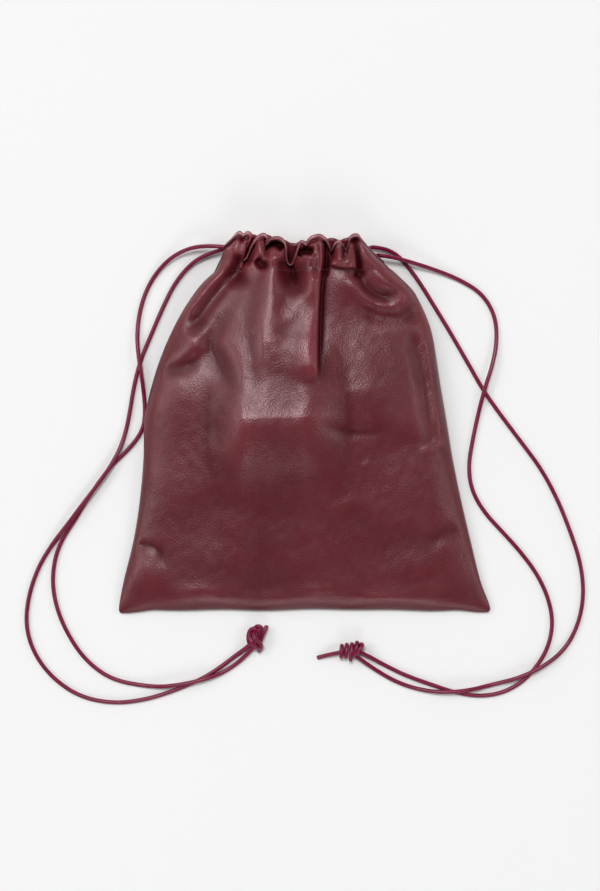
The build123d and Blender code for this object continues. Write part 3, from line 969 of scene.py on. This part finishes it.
# how worn the rim is, which also paints a highlight line along its fold
front_wear_and_highlight = rim_wear_and_highlight(front, INNER_ROWS)
leather_halves("front_leather", front, front_wear_and_highlight, FRONT_MIDDLE, ("front_panel", "front_casing"))
# the back's columns run from right to left, so that its outer face looks down
back_wear_and_highlight = rim_wear_and_highlight(back_turned, BACK_INNER_ROWS)
back_middle = COLUMNS - 1 - BACK_MIDDLE
leather_halves("back_leather", back_turned, back_wear_and_highlight, back_middle, ("back_panel", "back_casing"))


# ---- stitching ------------------------------------------------------------------------------------
STITCH_LENGTH = 2.2
STITCH_RADIUS = 0.2
STITCH_PITCH = 3.2
STITCH_SUNK = 0.1


def stitches(name, line, node_name, upright=False):
    """A row of small rounded stitches along a line of points in millimetres, or across it if upright."""
    travelled = np.concatenate([[0], np.cumsum(np.linalg.norm(np.diff(line, axis=0), axis=1))])
    count = int(travelled[-1] / STITCH_PITCH)
    mesh = bmesh.new()
    for i in range(count):
        middle = (i + 0.5) / count * travelled[-1]
        ends_at = np.array([middle - STITCH_LENGTH / 2, middle + STITCH_LENGTH / 2])
        first, last = (np.array([np.interp(d, travelled, line[:, k]) for k in range(3)]) for d in ends_at)
        along = np.array([0.0, 0, 1]) if upright else (last - first) / np.linalg.norm(last - first)
        turn = Vector((0, 0, 1)).rotation_difference(Vector(along)).to_matrix().to_4x4()
        size = Matrix.Diagonal((STITCH_RADIUS * MM, STITCH_RADIUS * MM, STITCH_LENGTH / 2 * MM, 1))
        at = Matrix.Translation(Vector((first + last) / 2 * MM))
        bmesh.ops.create_uvsphere(mesh, u_segments=8, v_segments=6, radius=1, matrix=at @ turn @ size)
    data = bpy.data.meshes.new(name)
    mesh.to_mesh(data)
    mesh.free()
    data.polygons.foreach_set("use_smooth", [True] * len(data.polygons))
    data.materials.append(THREAD_MATERIAL)
    made = bpy.data.objects.new(name, data)
    bpy.context.scene.collection.objects.link(made)
    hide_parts(node_name)
    return made


HEM_STITCH_ROW = BODY_COUNT + 1
HEM_END = 6  # columns at the ends of a hem that carry no stitch
SIDE_START = 26  # rows at the bottom that carry no side stitch
BOTTOM_END = 20  # columns at the corners that carry no bottom stitch
for side, end_column, inward in (("left", 0, STITCH_RADIUS), ("right", -1, -STITCH_RADIUS)):
    front_columns = slice(HEM_END, FRONT_MIDDLE) if side == "left" else slice(FRONT_MIDDLE, -HEM_END)
    back_columns = slice(HEM_END, BACK_MIDDLE) if side == "left" else slice(BACK_MIDDLE, -HEM_END)
    hem_line = front[HEM_STITCH_ROW, front_columns] - np.array([0, 0, STITCH_SUNK])
    gather(stitches(f"front_hem_stitches_{side}", hem_line, "front_casing_stitching"), side)
    under_line = back[HEM_STITCH_ROW, back_columns] + np.array([0, 0, STITCH_RADIUS])
    gather(stitches(f"back_hem_stitches_{side}", under_line, "back_casing_stitching"), side)
    seam_line = front[SIDE_START:BODY_COUNT, end_column] + np.array([inward, 0, 0])
    gather(stitches(f"{side}_side_stitches", seam_line, f"{side}_side_stitching", upright=True), side)
bottom_line = front[0, BOTTOM_END:-BOTTOM_END] + np.array([0, STITCH_RADIUS, 0])
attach(stitches("bottom_stitches", bottom_line, "bottom_stitching", upright=True), "bag")


# The drawstrings' hidden runs through the hems, round at the far end of the neck and back.
LEFT_LOOP_ROUTE = [
    LEFT_UPPER_ROUTE[0], (-44, 109.8, 8.0), (-38, 109.8, 3.8), (-28, 109.8, 2.6), (0, 109.8, 2.6),
    (30, 109.8, 2.6), (37.5, 109.6, 2.6), (39.5, 108.2, 2.6), (37.5, 106.8, 2.6), (30, 106.6, 2.6),
    (0, 106.6, 2.6), (-30, 107, 2.6), (-42, 108.2, 4.0), LEFT_LOWER_ROUTE[0],
]
RIGHT_LOOP_ROUTE = [
    RIGHT_LOWER_ROUTE[0], (40, 104.4, 6.0), (33, 103.6, 2.6), (20, 103.4, 2.6), (0, 103.4, 2.6),
    (-34, 103.4, 2.6), (-41.5, 103.2, 2.6), (-43.5, 101.8, 2.6), (-41.5, 100.4, 2.6),
    (-34, 100.2, 2.6), (0, 100.2, 2.6), (20, 100.8, 2.6), (32, 104.5, 2.4), (38, 108.6, 3.4),
    RIGHT_UPPER_ROUTE[0],
]
for side, route in (("left", LEFT_LOOP_ROUTE), ("right", RIGHT_LOOP_ROUTE)):
    cord_piece(f"{side}_cord_run_in_hem", f"{side}_cord_casing_loop", f"{side}_cord", [route])

# ---- floor and lights ---------------------------------------------------------------------------
bpy.ops.mesh.primitive_plane_add(size=6, location=(0, 0, 0))
floor = bpy.context.object
floor.name = "floor"
floor_material, _, floor_shader = shader("pale_floor", 0.9)
floor_shader.inputs["Base Color"].default_value = (0.86, 0.86, 0.86, 1)
floor_shader.inputs["Specular IOR Level"].default_value = 0.1
floor.data.materials.append(floor_material)


BAG_MIDDLE = (0, 0, 0.01)


def area_light(name, place_at, size, watts):
    """A square softbox that faces the bag."""
    data = bpy.data.lights.new(name, "AREA")
    data.size = size
    data.energy = watts
    lamp = bpy.data.objects.new(name, data)
    lamp.location = place_at
    direction = np.array(place_at) - np.array(BAG_MIDDLE)
    yaw = math.atan2(direction[1], direction[0])
    pitch = math.atan2(math.hypot(direction[0], direction[1]), direction[2])
    lamp.rotation_euler = (0, pitch, yaw)
    bpy.context.scene.collection.objects.link(lamp)


# Each softbox's name, place in metres, width in metres and power in watts.
SOFTBOXES = [
    ("key_softbox", (-3.3, 3.6, 4.2), 2.4, 62),
    ("overhead_softbox", (-0.7, 2.3, 6.4), 2.0, 264),
    ("left_softbox", (-2.4, 0.1, 2.1), 1.2, 18),
    ("right_softbox", (2.4, 0.1, 2.1), 1.2, 14),
    ("front_softbox", (0.2, -2.6, 1.7), 1.3, 15),
]
for softbox in SOFTBOXES:
    area_light(*softbox)

WORLD_STRENGTH = 0.46
SKY_GLOW = [(0.0, grey(1.0)), (0.5, grey(0.75)), (0.84, grey(0.06))]  # from the horizon to overhead
world = bpy.data.worlds.new("studio")
world.use_nodes = True
sky = world.node_tree
direction = node(sky, "ShaderNodeTexCoord")
parts = node(sky, "ShaderNodeSeparateXYZ")
sky.links.new(direction.outputs["Generated"], parts.inputs["Vector"])
sky.links.new(ramp(sky, parts.outputs["Z"], SKY_GLOW), sky.nodes["Background"].inputs["Color"])
sky.nodes["Background"].inputs["Strength"].default_value = WORLD_STRENGTH
bpy.context.scene.world = world
bpy.context.scene.view_settings.view_transform = "Standard"
